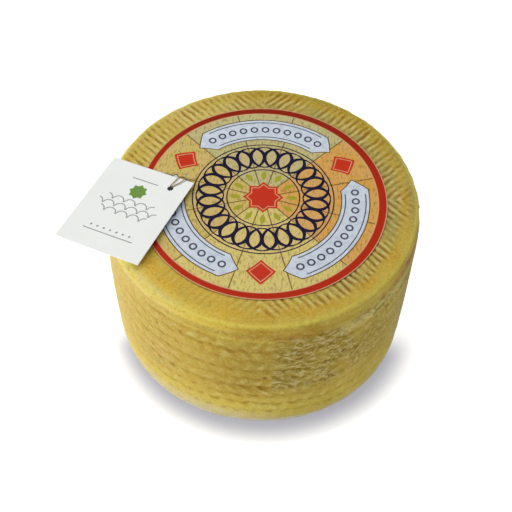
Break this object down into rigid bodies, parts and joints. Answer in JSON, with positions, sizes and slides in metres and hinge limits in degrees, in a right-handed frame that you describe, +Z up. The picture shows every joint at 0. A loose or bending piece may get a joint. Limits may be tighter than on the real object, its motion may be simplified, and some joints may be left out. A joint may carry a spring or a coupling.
{
  "type": "aged sheep cheese",
  "caption": "Whole wheel of aged pressed sheep cheese with a plaited rind, a round paper label on top and a paper hang tag on a thread loop.",
  "frame": {"origin": "centre of the wheel's underside", "axes": "+Z up through the wheel's top face; -Y towards the side that the picture shows; the hang tag reaches out towards -X"},
  "size_m": [0.2213, 0.1966, 0.1179],
  "materials": {
    "rind": "oiled natural cheese rind, straw yellow with paler and greyer patches",
    "label_paper": "printed paper, parchment colours in four fields inside a red ring",
    "tag_card": "smooth white card with a plain printed pattern",
    "thread": "twisted thread, beige with a slight sheen"
  },
  "bodies": {
    "root": {"cheese_wheel": "rind", "paper_label": "label_paper", "hang_tag": "tag_card", "tag_thread": "thread", "thread_knot": "thread"}
  },
  "joints": []
}
